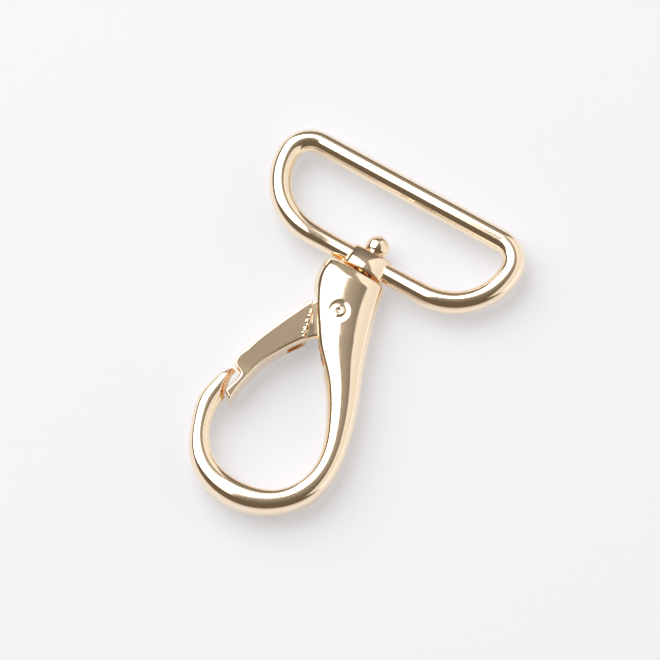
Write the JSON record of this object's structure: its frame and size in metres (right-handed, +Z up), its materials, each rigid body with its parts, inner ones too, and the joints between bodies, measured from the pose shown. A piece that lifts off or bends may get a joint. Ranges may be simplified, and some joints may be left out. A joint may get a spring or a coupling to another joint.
{
  "type": "swivel snap hook",
  "caption": "Swivel snap hook for 38 mm webbing: D-shaped strap loop on a ball-headed swivel, teardrop hook and a sprung gate that closes inside the nose.",
  "frame": {"origin": "centre of the footprint, on the face that the hook lies on; X = 0 is the swivel axis, which runs 3.2 mm above", "axes": "+Y along the swivel axis towards the strap bar, +Z up out of the face that it lies on, +X towards the spine side of the hook"},
  "size_m": [0.0456, 0.0636, 0.0064],
  "materials": {
    "light_gold_plating": "mirror polished light gold plating on zinc die casting",
    "spring_steel": "drawn spring wire, slightly dull"
  },
  "bodies": {
    "hook": {"hook_body": "light_gold_plating", "swivel_post": "light_gold_plating", "gate_pin": "light_gold_plating", "gate_spring": "spring_steel"},
    "gate": {"gate": "light_gold_plating"},
    "loop": {"strap_loop": "light_gold_plating"}
  },
  "joints": [
    {"name": "gate_hinge", "type": "hinge", "parent": "hook", "child": "gate", "pos_m": [0.00055, 0.00515, 0.0032], "axis": [0, 0, 1], "range_deg": [0, 18], "stiffness_Nm_per_rad": 0.019, "springref_deg": -60.16, "deforming": ["gate_spring"]},
    {"name": "loop_swivel", "type": "hinge", "parent": "hook", "child": "loop", "pos_m": [0, 0.0155, 0.0032], "axis": [0, 1, 0], "continuous": true}
  ]
}
